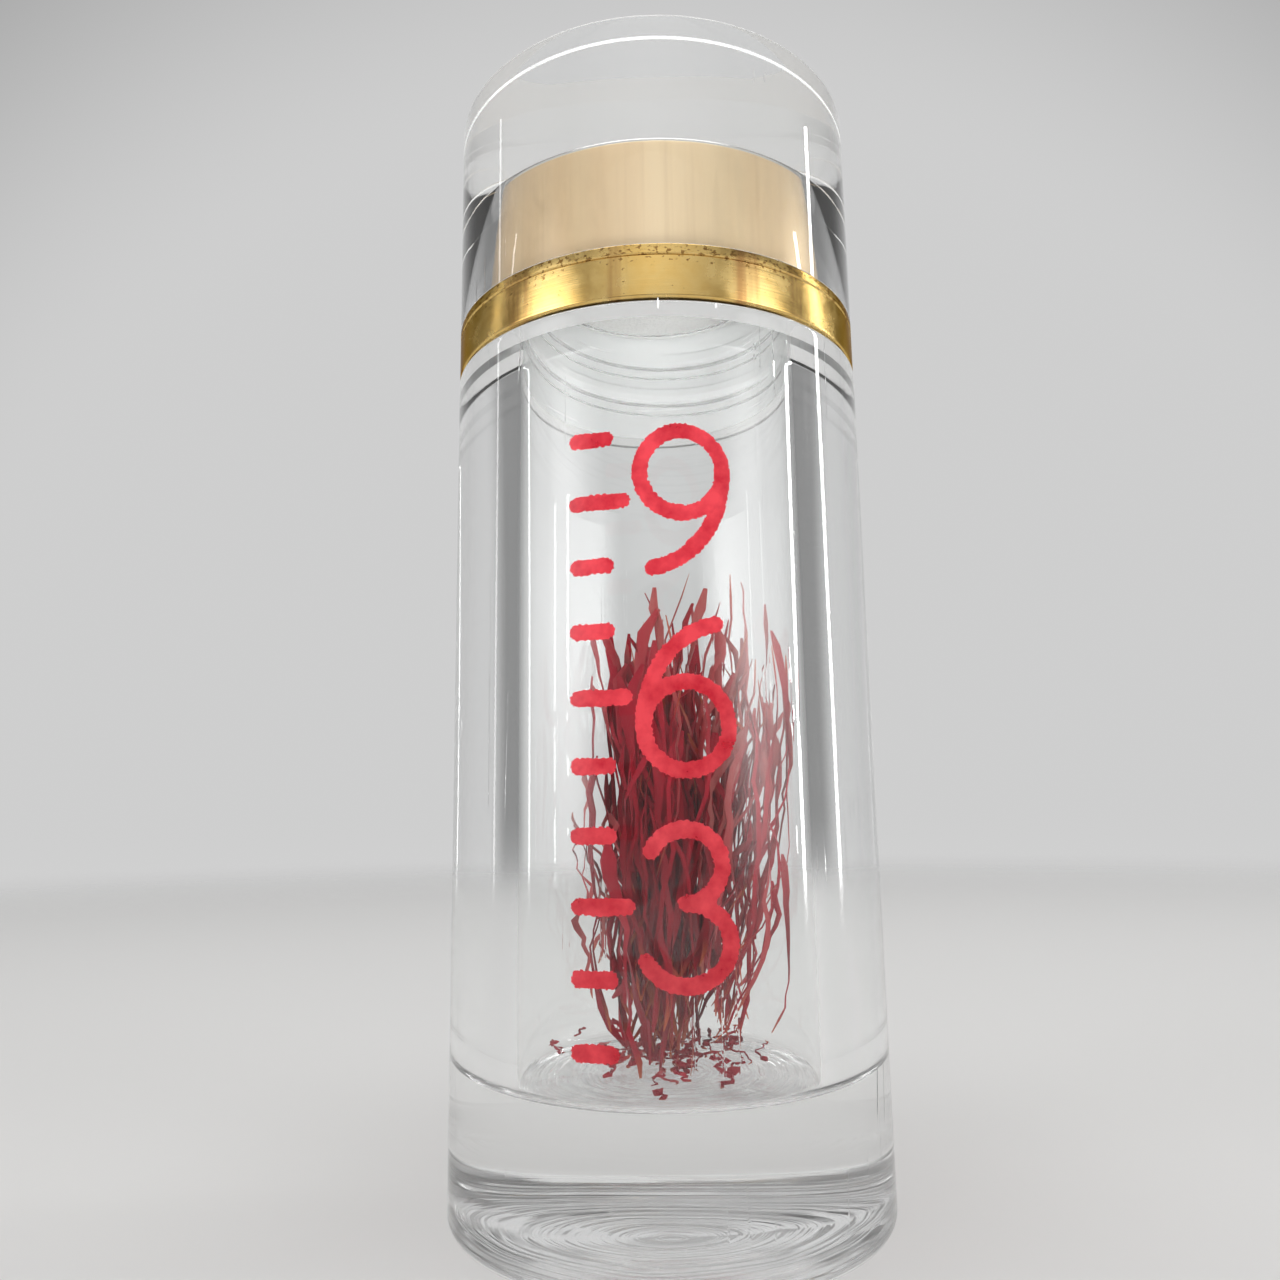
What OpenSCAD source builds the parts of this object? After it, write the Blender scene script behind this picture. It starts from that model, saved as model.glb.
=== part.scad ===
// Clear acrylic sample vial with a screw cap: a thick turned body, a gold-lined
// clear cap, and a bundle of dried saffron threads inside.
// The origin is the centre of the base, +Z runs up the axis, sizes are in millimetres.

/* [Vial body] */
// Outside diameter of the clear body
vial_d = 27; // [25.5:0.1:34]
// Height of the shoulder that the cap closes on
shoulder_z = 52.4; // [42:0.1:70]
// Diameter of the bore
bore_d = 18.8; // [14:0.1:19.2]
// Thickness of the solid base under the bore
base_t = 8.2; // [4:0.1:14]
// Radius of the rounded rim at the base
base_round = 0.8; // [0.3:0.1:1.5]
// Radius of the rounded rim at the shoulder
shoulder_round = 0.3; // [0.1:0.05:0.6]
// Radius of the bore's inside corner at the floor
floor_round = 0.7; // [0.2:0.1:1.5]
// Diameter of the shallow turning mark in the floor
dimple_d = 6.4; // [2:0.1:9]
// Depth of the turning mark
dimple_depth = 0.3; // [0.1:0.05:0.8]

/* [Neck and thread] */
// Wall of the threaded neck
neck_wall = 0.7; // [0.6:0.05:0.9]
// Height of the neck above the shoulder
neck_h = 8.4; // [7:0.1:12]
// Distance that the cap rises in one turn
pitch = 3; // [2.5:0.1:3.5]
// How far each thread ridge stands out from its wall
ridge_h = 0.5; // [0.4:0.05:0.6]
// Width of a ridge at its foot
ridge_foot = 1.1; // [0.9:0.05:1.2]
// Width of a ridge at its crest
ridge_crest = 0.5; // [0.3:0.05:0.7]
// Turns of the ridge on the neck
neck_turns = 1.75; // [1:0.25:1.75]
// Turns of the ridge in the cap
cap_turns = 1.25; // [1:0.25:1.25]
// Clear gap between each crest and the wall that it runs past
thread_gap = 0.2; // [0.15:0.05:0.3]

/* [Cap] */
// How far the cap stands in from the side of the body
cap_inset = 0.05; // [0:0.05:0.5]
// Height of the cap from its gold collar to its top
cap_h = 18.1; // [16:0.1:24]
// Thickness of the bonded plate at the top
plate_t = 1.6; // [1:0.1:2.5]
// Height of the polished collar
collar_h = 3.3; // [2:0.1:4.5]
// Width of the bead along the collar's upper edge
bead_h = 0.55; // [0.3:0.05:0.8]
// Depth of the step between bead and collar
bead_step = 0.08; // [0.04:0.01:0.2]
// Wall of the gold-coloured liner cup
liner_wall = 0.3; // [0.25:0.05:0.5]
// Wall of the white screw insert behind its thread
insert_wall = 0.35; // [0.3:0.05:0.5]
// Thickness of the insert's top
insert_top = 1.2; // [0.8:0.1:1.6]
// Thickness of the sealing disc
seal_t = 0.9; // [0.6:0.1:1.2]
// Size of the fine chamfer on the cap's clear edges
edge = 0.15; // [0.05:0.05:0.3]

/* [Fits] */
// Gap between the collar and the shoulder when the cap is closed
seat_gap = 0.1; // [0.05:0.05:0.3]
// Gap around each piece that is bonded inside the cap
bond_gap = 0.05; // [0.03:0.01:0.1]
// Gap around the sealing disc
seal_gap = 0.2; // [0.1:0.05:0.3]

/* [Contents] */
// Height that the loose threads reach above the floor
saffron_h = 31; // [15:1:34]
// Gap between the threads and the bore
saffron_gap = 0.5; // [0.3:0.1:3]

/* [Hidden] */
$fn = 96;

vial_r = vial_d / 2;
bore_r = bore_d / 2;
neck_r = bore_r + neck_wall;
neck_top = shoulder_z + neck_h;
neck_crest = neck_r + ridge_h;

insert_in_r = neck_crest + thread_gap;
insert_out_r = insert_in_r + insert_wall;
liner_in_r = insert_out_r + bond_gap;
liner_out_r = liner_in_r + liner_wall;
sleeve_r = liner_out_r + bond_gap;
cap_r = vial_r - cap_inset;

cap_z = shoulder_z + seat_gap;
collar_top = cap_z + collar_h;
seal_top = neck_top + seal_t;
insert_top_z = seal_top + insert_top;
liner_top_z = insert_top_z + bond_gap + liner_wall;
cavity_top = liner_top_z + bond_gap;
plate_z = cap_z + cap_h - plate_t;

// Heights where the two ridges start; the neck's ridge lies midway up the neck
neck_ridge_z = shoulder_z + (neck_h - neck_turns * pitch) / 2;
cap_ridge_z = neck_ridge_z + pitch / 2;
// Depth that each ridge's foot is sunk in its wall
ridge_sink = 0.1;
steps_per_turn = 32;
// Steps over which a ridge rises at each end
taper_steps = 5;
// Radius of the rounded top of the loose threads
dome_h = 3;
// How far each cutting shape runs past what it cuts
over = 1;

// Cuts a convex corner at [r, z] of a turned profile to a radius; turn picks the corner
module corner_cut(r, z, e, turn) {
    translate([r, z]) rotate(turn) translate([-e, -e])
        difference() {
            square(e + over);
            circle(e);
        }
}

// Fills a concave corner at [r, z] of a turned profile with a radius; turn picks the corner
module corner_fill(r, z, e, turn) {
    translate([r, z]) rotate(turn)
        difference() {
            translate([-over, -over]) square(e + over);
            translate([e, e]) circle(e);
        }
}

// Height of the ridge at step i of n: it rises from its wall and sinks back at the ends
function swell(i, n) = min(1, min(i, n - i) / taper_steps);

// Four corners of the ridge's section at step i, going round it; out is 1 outwards, -1 inwards
function ridge_section(i, n, wall_r, out, z0) =
    let (a = 360 * i / steps_per_turn, z = z0 + pitch * i / steps_per_turn,
         foot = wall_r - out * ridge_sink,
         crest = wall_r + out * (ridge_h * swell(i, n) - ridge_sink / 2 * (1 - swell(i, n))))
    [for (c = [[foot, -ridge_foot / 2], [crest, -ridge_crest / 2],
               [crest, ridge_crest / 2], [foot, ridge_foot / 2]])
        [c[0] * cos(a), c[0] * sin(a), z + c[1]]];

// A right-hand helical ridge on a wall of radius wall_r, starting at height z0
module ridge(wall_r, out, z0, turns) {
    n = round(turns * steps_per_turn);
    points = [for (i = [0:n]) for (p = ridge_section(i, n, wall_r, out, z0)) p];
    sides = [for (i = [0:n - 1]) for (k = [0:3])
        let (j = (k + 1) % 4, a = 4 * i + k, b = 4 * i + j, c = b + 4, d = a + 4)
        for (t = [[a, b, c], [a, c, d]]) t];
    ends = [[0, 2, 1], [0, 3, 2], [4 * n, 4 * n + 1, 4 * n + 2], [4 * n, 4 * n + 2, 4 * n + 3]];
    faces = concat(sides, ends);
    polyhedron(points, out > 0 ? faces : [for (f = faces) [f[0], f[2], f[1]]], convexity = 8);
}

// Half section of the clear body, without its thread
module vial_profile() {
    difference() {
        union() {
            square([vial_r, shoulder_z]);
            square([neck_r, neck_top]);
        }
        difference() {
            translate([0, base_t]) square([bore_r, neck_top]);
            corner_fill(bore_r, base_t, floor_round, 90);
        }
        corner_cut(vial_r, 0, base_round, -90);
        corner_cut(vial_r, shoulder_z, shoulder_round, 0);
        polygon([[0, base_t - dimple_depth], [dimple_d / 2, base_t], [0, base_t + over]]);
    }
}

module vial_body() {
    color([0.86, 0.88, 0.87, 0.35]) {
        rotate_extrude() vial_profile();
        ridge(neck_r, 1, neck_ridge_z, neck_turns);
    }
}

// Stand-in for the loose threads: the space that they fill in the bore
module saffron_threads() {
    r = bore_r - saffron_gap;
    z0 = base_t + saffron_gap / 2;
    color([0.42, 0.05, 0.05])
        rotate_extrude()
            difference() {
                translate([0, z0]) square([r, saffron_h]);
                corner_cut(r, z0 + saffron_h, dome_h, 0);
                corner_cut(r, z0, floor_round, -90);
            }
}

module seal_disc() {
    color([0.93, 0.93, 0.91])
        translate([0, 0, neck_top]) cylinder(h = seal_t, r = insert_in_r - seal_gap);
}

// White inner cap; its thread lies half a pitch from the ridge on the neck
module screw_insert() {
    color([0.95, 0.95, 0.93]) {
        difference() {
            translate([0, 0, cap_z]) cylinder(h = insert_top_z - cap_z, r = insert_out_r);
            translate([0, 0, cap_z - over]) cylinder(h = seal_top - cap_z + over, r = insert_in_r);
        }
        ridge(insert_in_r, -1, cap_ridge_z, cap_turns);
    }
}

module liner_cup() {
    color([0.83, 0.72, 0.55])
        difference() {
            translate([0, 0, cap_z]) cylinder(h = liner_top_z - cap_z, r = liner_out_r);
            translate([0, 0, cap_z - over])
                cylinder(h = insert_top_z + bond_gap - cap_z + over, r = liner_in_r);
        }
}

// Polished ring with a fine bead along its upper edge
module gold_collar() {
    color([0.85, 0.66, 0.3])
        rotate_extrude()
            difference() {
                translate([sleeve_r, cap_z]) square([cap_r - sleeve_r, collar_h]);
                translate([cap_r - bead_step, collar_top - bead_h - 2 * bead_step]) square(2 * bead_step);
            }
}

// Solid clear acrylic, bored from below for the liner
module cap_block() {
    color([0.86, 0.88, 0.87, 0.35])
        rotate_extrude()
            difference() {
                translate([0, collar_top]) square([cap_r, plate_z - collar_top]);
                translate([0, collar_top]) square([sleeve_r, cavity_top - collar_top]);
                translate([cap_r, plate_z]) rotate(45) square(edge * sqrt(2), center = true);
            }
}

module cap_top_plate() {
    color([0.86, 0.88, 0.87, 0.35])
        rotate_extrude()
            difference() {
                translate([0, plate_z]) square([cap_r, plate_t]);
                translate([cap_r, plate_z]) rotate(45) square(edge * sqrt(2), center = true);
                translate([cap_r, plate_z + plate_t]) rotate(45) square(edge * sqrt(2), center = true);
            }
}

vial_body();
saffron_threads();
seal_disc();
screw_insert();
liner_cup();
gold_collar();
cap_block();
cap_top_plate();
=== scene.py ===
import math

import bmesh
import bpy
import numpy as np
from mathutils import Matrix, Vector
from mathutils.bvhtree import BVHTree


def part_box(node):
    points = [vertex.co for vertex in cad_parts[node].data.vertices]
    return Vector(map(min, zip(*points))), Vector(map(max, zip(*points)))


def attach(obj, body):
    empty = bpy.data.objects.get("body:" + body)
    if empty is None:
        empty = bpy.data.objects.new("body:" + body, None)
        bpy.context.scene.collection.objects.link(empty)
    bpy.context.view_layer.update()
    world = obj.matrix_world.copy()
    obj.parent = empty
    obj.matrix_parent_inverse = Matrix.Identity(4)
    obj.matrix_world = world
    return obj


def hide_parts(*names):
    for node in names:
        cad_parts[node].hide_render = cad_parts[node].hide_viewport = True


# A clear acrylic sample vial with a gold-lined screw cap, holding dried saffron threads.
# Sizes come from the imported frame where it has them. Everything is in metres, and mm is one millimetre.

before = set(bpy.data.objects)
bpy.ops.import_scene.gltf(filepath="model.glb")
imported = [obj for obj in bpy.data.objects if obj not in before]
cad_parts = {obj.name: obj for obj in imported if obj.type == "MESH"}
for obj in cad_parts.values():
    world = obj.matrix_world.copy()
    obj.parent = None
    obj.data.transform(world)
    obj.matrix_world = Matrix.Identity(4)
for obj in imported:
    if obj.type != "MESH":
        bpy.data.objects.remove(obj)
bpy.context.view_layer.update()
mm = 0.001
seed = 27
rng = np.random.default_rng(seed)
print("frame loaded:", ", ".join(sorted(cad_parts)))


def turnedSize(nodeName):
    # a turned node's radius, lowest and highest height
    low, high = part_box(nodeName)
    return high.x, low.z, high.z


outerRadius, baseZ, neckTop = turnedSize("vial_body")
collarRadius, capZ, collarTop = turnedSize("gold_collar")
linerRadius, _, linerTop = turnedSize("liner_cup")
insertRadius, _, insertTop = turnedSize("screw_insert")
sealRadius, _, sealTop = turnedSize("seal_disc")
capRadius, _, plateZ = turnedSize("cap_block")
_, _, capTop = turnedSize("cap_top_plate")
threadsRadius, threadsLow, threadsHigh = turnedSize("saffron_threads")


camera = {
    "lens": 28.163,  # mm, on a 36 mm sensor
    "place": (0.0, -66.119 * mm, 24.099 * mm),
    "pitch": -0.1646,  # radians; looks up along the cap
    "yaw": -0.0209,
    "roll": 0.0151,
    "sensor": 36.0,
    "photoSide": 1280,
    "nearClip": 1 * mm,
    "missDepths": (20 * mm, 120 * mm, 400),  # where a ray that misses looks for the nearest place
}

# name: x, y in the photograph, None where the other one is the edge that counts
imagePoints = {
    "capTopArc": (655, 13),
    "seamArc": (655, 38),
    "collarUpperArc": (655, 243.5),
    "collarLowerArc": (655, 295),
    "capLeft": (461, 190),
    "capRight": (847.6, 230),
    "bodyUpperLeft": (453.7, 500),
    "bodyUpperRight": (860.5, 502),
    "bodyMiddleLeft": (453, 820),
    "bodyMiddleRight": (877, 830),
    "bodyLowerLeft": (450.7, 1060),
    "bodyLowerRight": (889.6, 1050),
    "longNick": (658, 303),
    "shortNick": (716, 305.5),
    "objectLeft": (446, None),
    "objectRight": (898, None),
}


def newObject(name, data):
    made = bpy.data.objects.new(name, data)
    bpy.context.scene.collection.objects.link(made)
    return made


def cameraAxes():
    # rows are the camera's own x, y, z axes: roll after pitch after yaw, from a camera looking along +Y
    upright = Matrix(((1, 0, 0), (0, 0, 1), (0, -1, 0)))
    return (Matrix.Rotation(camera["roll"], 3, "Z") @ Matrix.Rotation(camera["pitch"], 3, "X")
            @ Matrix.Rotation(camera["yaw"], 3, "Y") @ upright)


def makeCamera():
    data = bpy.data.cameras.new("photoCamera")
    data.sensor_fit = "AUTO"
    data.sensor_width = camera["sensor"]
    data.lens = camera["lens"]
    data.clip_start = camera["nearClip"]
    made = newObject("photoCamera", data)
    turn = cameraAxes().transposed().to_4x4()
    made.matrix_world = Matrix.Translation(camera["place"]) @ turn
    bpy.context.scene.camera = made


photoMiddle = camera["photoSide"] / 2
focalPixels = camera["photoSide"] * camera["lens"] / camera["sensor"]


def toImage(points):
    # pinhole projection of points (n, 3) to photograph pixels
    seen = (np.asarray(points, float) - np.array(camera["place"])) @ np.array(cameraAxes()).T
    closeness = focalPixels / -seen[:, 2]
    return np.stack([photoMiddle + seen[:, 0] * closeness, photoMiddle - seen[:, 1] * closeness], 1)


def onSurface(x, y, tree):
    # the place and normal where a photograph pixel's ray meets tree's surface, or nearest the ray on a miss
    ray = Vector((x - photoMiddle, photoMiddle - y, -focalPixels))
    direction = (cameraAxes().transposed() @ ray).normalized()
    start = Vector(camera["place"])
    hit = tree.ray_cast(start, direction)
    if hit[0] is not None:
        return hit[0], hit[1]
    steps = [start + direction * t for t in np.linspace(*camera["missDepths"])]
    nearest = min((tree.find_nearest(p) for p in steps), key=lambda found: found[3])
    return nearest[0], nearest[1]


makeCamera()
print("camera placed")


mergeDistance = 1e-8  # vertices nearer than this are one
# steps in the arc of a rounded edge, by its size
arcSteps = {"tiny": 4, "fine": 5, "small": 6, "medium": 8, "large": 10}


def meshFrom(name, points, faces, material, body, slotName=None, sharpDegrees=28):
    # a finished piece from points (n, 3) and faces (m, 4): poles merged, normals outwards
    mesh = bpy.data.meshes.new(name)
    mesh.from_pydata(points.tolist(), [], faces.tolist())
    shell = bmesh.new()
    shell.from_mesh(mesh)
    bmesh.ops.remove_doubles(shell, verts=shell.verts, dist=mergeDistance)
    bmesh.ops.recalc_face_normals(shell, faces=shell.faces)
    shell.to_mesh(mesh)
    shell.free()
    mesh.polygons.foreach_set("use_smooth", [True] * len(mesh.polygons))
    mesh.set_sharp_from_angle(angle=math.radians(sharpDegrees))
    mesh.materials.append(material)
    piece = newObject(name, mesh)
    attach(piece, body)
    return piece


def readVectors(items, key):
    # every item's vector, such as a vertex's co, as an array (n, 3)
    values = np.empty(3 * len(items), np.float32)
    items.foreach_get(key, values)
    return values.reshape(-1, 3).astype(float)


def faceShape(piece):
    # each face's distance from the axis, height, and upward part of its normal
    centres = readVectors(piece.data.polygons, "center")
    normals = readVectors(piece.data.polygons, "normal")
    return np.hypot(centres[:, 0], centres[:, 1]), centres[:, 2], normals[:, 2]


def refinish(piece, *finishes):
    # each finish is a material and a mask of the faces that get it
    index = np.zeros(len(piece.data.polygons), np.int32)
    for slotNumber, (material, mask) in enumerate(finishes, 1):
        piece.data.materials.append(material)
        index[mask] = slotNumber
    piece.data.polygons.foreach_set("material_index", index)


def gridFaces(rows, columns):
    # quads of a grid whose columns wrap round
    i = np.arange(rows - 1)[:, None]
    j = np.arange(columns)[None, :]
    right = (j + 1) % columns
    row, above = i * columns, (i + 1) * columns
    corners = [row + j, row + right, above + right, above + j]
    return np.stack(np.broadcast_arrays(*corners), -1).reshape(-1, 4)


def arc(r, z, radius, startDegrees, endDegrees, size):
    # points of an arc about (r, z) in a turned profile
    a = np.radians(np.linspace(startDegrees, endDegrees, arcSteps[size] + 1))
    return [(r + radius * c, z + radius * s) for c, s in zip(np.cos(a), np.sin(a))]


def turned(profile, segments, ridge=None):
    # x = r cos a, y = r sin a for each profile point (r, z) and angle a, with ridge(a, z, r) added to r
    profile = np.asarray(profile, float)
    a = np.linspace(0, 2 * np.pi, segments, endpoint=False)[None, :]
    r = np.repeat(profile[:, :1], segments, 1)
    z = np.repeat(profile[:, 1:2], segments, 1)
    if ridge:
        r = r + ridge(a, z, r)
    points = np.stack([r * np.cos(a), r * np.sin(a), z], -1).reshape(-1, 3)
    return points, gridFaces(len(profile), segments)


thread = {
    "pitch": 3 * mm,
    "height": 0.5 * mm,
    "foot": 1.1 * mm,
    "crest": 0.5 * mm,
    "neckTurns": 1.75,
    "capTurns": 1.25,
    "taperTurns": 5 / 32,
    "rowGap": 0.045 * mm,  # height of one row of the fine grid
    "onWall": 1e-7,  # a row this near the wall's radius carries the ridge
}
# gaps that the solids keep: the collar over the shoulder, and the cap round its liner
seatGap = 0.1 * mm
bondGap = 0.05 * mm
shoulderZ = capZ - seatGap
neckRidgeZ = shoulderZ + (neckTop - shoulderZ - thread["neckTurns"] * thread["pitch"]) / 2
capRidgeZ = neckRidgeZ + thread["pitch"] / 2


def helicalRidge(startZ, turns, wallRadius, out):
    # right-hand ridge: its height eases from crest to foot with the distance along z from the helix
    # startZ + pitch * turn, and it swells from nothing at both ends
    def ridge(a, z, r):
        onWall = np.abs(r - wallRadius) < thread["onWall"]
        turn = a / (2 * np.pi) + np.round((z - startZ) / thread["pitch"] - a / (2 * np.pi))
        away = np.abs(z - startZ - turn * thread["pitch"])
        flank = (thread["foot"] - thread["crest"]) / 2
        rise = np.clip(1 - (away - thread["crest"] / 2) / flank, 0, 1)
        rise = rise * rise * (3 - 2 * rise)
        swell = np.clip(np.minimum(turn, turns - turn) / thread["taperTurns"], 0, 1)
        return out * thread["height"] * rise * swell * onWall
    return ridge


def wallRows(r, fromZ, toZ, count):
    return [(r, z) for z in np.linspace(fromZ, toZ, count)]


def threadRows(r, fromZ, toZ):
    # close rows up or down a threaded wall
    return wallRows(r, fromZ, toZ, int(abs(toZ - fromZ) / thread["rowGap"]) + 1)


# the middle of a noise's values, where most of them lie
noiseSpan = (0.3, 0.7)


def dress(tree, target, values):
    # a node's sockets by name or number: an output is linked to its socket, anything else is set on it
    for key, value in values.items():
        socket = target.inputs[key]
        if isinstance(value, bpy.types.NodeSocket):
            tree.links.new(value, socket)
        else:
            socket.default_value = (*value, 1) if socket.type == "RGBA" else value


def node(tree, kind, values, **settings):
    made = tree.nodes.new("ShaderNode" + kind)
    for key, value in settings.items():
        setattr(made, key, value)
    dress(tree, made, values)
    return made


def newMaterial(name, colour, values):
    material = bpy.data.materials.new(name)
    material.use_nodes = True
    tree = material.node_tree
    shader = tree.nodes["Principled BSDF"]
    dress(tree, shader, {"Base Color": colour, **values})
    return material, tree, shader


def maths(tree, operation, *terms):
    return node(tree, "Math", dict(enumerate(terms)), operation=operation).outputs[0]


def vectorMaths(tree, operation, output, *terms):
    return node(tree, "VectorMath", dict(enumerate(terms)), operation=operation).outputs[output]


def part(tree, vector, axis):
    return node(tree, "SeparateXYZ", {0: vector}).outputs[axis]


def objectPlace(tree):
    return node(tree, "TexCoord", {}).outputs["Object"]


def noise(tree, scale, stretch=(1, 1, 1), detail=3, rough=0.5, turn=(0, 0, 0)):
    # noise on Object coordinates; stretch sets how fine it is along each axis
    place = node(tree, "Mapping", {"Vector": objectPlace(tree), "Scale": stretch, "Rotation": turn})
    values = {"Vector": place.outputs["Vector"], "Scale": scale, "Detail": detail, "Roughness": rough}
    return node(tree, "TexNoise", values).outputs["Fac"]


def spread(tree, source, span, onto=(0, 1), easing="LINEAR"):
    # source's values within span, stretched onto another range
    ends = {"From Min": span[0], "From Max": span[1], "To Min": onto[0], "To Max": onto[1]}
    return node(tree, "MapRange", {"Value": source, **ends}, interpolation_type=easing).outputs["Result"]


def blendColours(tree, factor, first, second):
    # first and second are colours or colour outputs; sockets 6, 7 and 2 are the node's colour ones
    made = node(tree, "Mix", {"Factor": factor, 6: first, 7: second}, data_type="RGBA")
    return made.outputs[2]


def bump(tree, height, strength, distance, under=None, invert=False):
    # the bumped normal, on top of the normal under
    values = {"Strength": strength, "Distance": distance, "Height": height}
    if under:
        values["Normal"] = under
    return node(tree, "Bump", values, invert=invert).outputs["Normal"]


def field(tree, source):
    # a mesh attribute by its name, the distance from a pore's middle by poreScale, or noise by its settings
    if isinstance(source, str):
        return node(tree, "Attribute", {}, attribute_name=source).outputs["Fac"]
    if "poreScale" in source:
        values = {"Vector": objectPlace(tree), "Scale": source["poreScale"]}
        return node(tree, "TexVoronoi", values).outputs["Distance"]
    return noise(tree, **source)


def layered(name, look, over=None):
    # the look's colour under its layers, each as dense as its field's values within its span say, then what
    # over(tree, colour) adds; the first layer's field sets roughness and bump too, if the look has no other
    material, tree, shader = newMaterial(name, look["colour"], look.get("values", {}))
    colour = look["colour"]
    for layer in look["layers"]:
        density = spread(tree, field(tree, layer["field"]), layer["span"], layer.get("share", (0, 1)))
        colour = blendColours(tree, density, colour, layer["colour"])
    rough = look.get("rough", look["layers"][0]["field"])
    grain = look.get("grain", rough)
    dress(tree, shader, {
        "Base Color": over(tree, colour) if over else colour,
        "Roughness": spread(tree, field(tree, rough), look.get("roughSpan", noiseSpan), look["roughness"]),
        "Normal": bump(tree, field(tree, grain), *look["bump"]),
    })
    return material


# in a look, a bump is its strength and depth, a span is where in a field's values one thing gives way to
# another, and a share is how much of a layer shows at the two ends of its span
acrylic = {
    "tint": (0.984, 0.991, 0.988),
    "refraction": {"IOR": 1.49},
    "smudges": {"scale": 120, "detail": 2},
    "smudgeSpan": (0.5, 0.75),
    "roughness": (0.008, 0.026),  # polished, and where fingers have been
    "drawLines": {"scale": 900, "stretch": (1, 1, 0.012), "detail": 2},
    "drawBump": (0.05, 0.01 * mm),  # the faint lines along the wall
    "scratchBump": (0.35, 0.02 * mm),
    "dust": 0.06,
    "passing": (0.99, 0.993, 0.992),
}
scratches = {
    "noise": {"scale": 420, "stretch": (1, 1, 0.02), "detail": 0, "turn": (0.03, 0.02, 0)},
    "middle": 0.5,  # the value whose crossings are the hairlines
    "halfWidth": 0.005,
    "patches": {"scale": 110, "detail": 2},
    "patchSpan": (0.55, 0.7),
    "wallSpan": (0.1, 0.3),  # upward part of the normal where they fade out
}


def fineScratches(tree):
    # hairlines along the wall, where drawn-out noise crosses its middle value; none on the flat faces
    away = maths(tree, "SUBTRACT", noise(tree, **scratches["noise"]), scratches["middle"])
    lines = spread(tree, maths(tree, "ABSOLUTE", away), (0, scratches["halfWidth"]), (1, 0))
    here = spread(tree, noise(tree, **scratches["patches"]), scratches["patchSpan"])
    upward = part(tree, node(tree, "NewGeometry", {}).outputs["True Normal"], "Z")
    wall = spread(tree, maths(tree, "ABSOLUTE", upward), scratches["wallSpan"], (1, 0))
    return maths(tree, "MULTIPLY", maths(tree, "MULTIPLY", lines, here), wall)


def letLightThrough(tree, shader):
    # lamps and soft light shine straight through to what is inside; the eye still sees the shader
    ray = node(tree, "LightPath", {}).outputs
    soft = maths(tree, "MAXIMUM", ray["Is Shadow Ray"], ray["Is Diffuse Ray"])
    passing = node(tree, "BsdfTransparent", {"Color": acrylic["passing"]})
    either = node(tree, "MixShader", {0: soft, 1: shader.outputs[0], 2: passing.outputs[0]})
    dress(tree, tree.nodes["Material Output"], {"Surface": either.outputs[0]})


def newAcrylic(name, finish, *worn):
    # finish(tree, *worn) gives what the shader's sockets get
    material, tree, shader = newMaterial(name, acrylic["tint"], acrylic["refraction"])
    dress(tree, shader, finish(tree, *worn))
    letLightThrough(tree, shader)
    return material


def clearFinish(tree):
    # glass-clear, with faint lines along the wall, dull smudges, fine scratches and a breath of dust
    drawn = bump(tree, noise(tree, **acrylic["drawLines"]), *acrylic["drawBump"])
    cut = bump(tree, fineScratches(tree), *acrylic["scratchBump"], under=drawn, invert=True)
    smudges = noise(tree, **acrylic["smudges"])
    return {
        "Transmission Weight": 1,
        "Sheen Weight": acrylic["dust"],
        "Roughness": spread(tree, smudges, acrylic["smudgeSpan"], acrylic["roughness"]),
        "Normal": cut,
    }


turning = {
    "rings": {"Scale": 520, "Detail": 4},
    "waves": {"scale": 95, "detail": 2},
    "drift": 2.6 * mm,  # how far the waves push a ring off its circle
    "ringBump": (1.0, 0.9 * mm),
    "waveBump": (0.7, 2.6 * mm),
    "roughness": (0.02, 0.2),
    "whitenedSpan": (0.55, 0.68),
    "patchSpan": (0.3, 0.6),  # of the waves, where the rings are whitened
    "clear": (0.7, 1.0),  # light let through on the whitened rings and between
}


def turnedFinish(tree):
    # faced on a lathe: rings about the axis, some of them whitened, and slow waves between them
    flat = vectorMaths(tree, "MULTIPLY", "Vector", objectPlace(tree), (1, 1, 0))
    away = vectorMaths(tree, "LENGTH", "Value", flat)
    waves = noise(tree, **turning["waves"])
    drift = maths(tree, "MULTIPLY_ADD", waves, turning["drift"], away)
    values = {"W": drift, **turning["rings"]}
    rings = node(tree, "TexNoise", values, noise_dimensions="1D").outputs["Fac"]
    whitened = spread(tree, rings, turning["whitenedSpan"], (1, 0))
    patches = spread(tree, waves, turning["patchSpan"], (1, 0))
    clear = maths(tree, "MULTIPLY", whitened, patches)
    ringed = bump(tree, rings, *turning["ringBump"])
    return {
        "Transmission Weight": spread(tree, clear, (0, 1), turning["clear"]),
        "Roughness": spread(tree, rings, noiseSpan, turning["roughness"]),
        "Normal": bump(tree, waves, *turning["waveBump"], under=ringed),
    }


# acrylic that has rubbed dull: the light it still lets through, and how fine its worn streaks are
wornThread = {"clear": 0.85, "roughness": (0.12, 0.28), "streaks": 2200}
wornEdge = {"clear": 0.7, "roughness": (0.25, 0.45), "streaks": 700}
wornStreak = {"stretch": (0.05, 0.05, 1), "detail": 3}
wornBump = (0.3, 0.03 * mm)


def wornFinish(tree, worn):
    # half-clear, and duller in streaks that run round the axis
    streaks = noise(tree, worn["streaks"], **wornStreak)
    return {
        "Transmission Weight": worn["clear"],
        "Roughness": spread(tree, streaks, noiseSpan, worn["roughness"]),
        "Normal": bump(tree, streaks, *wornBump),
    }


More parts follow.
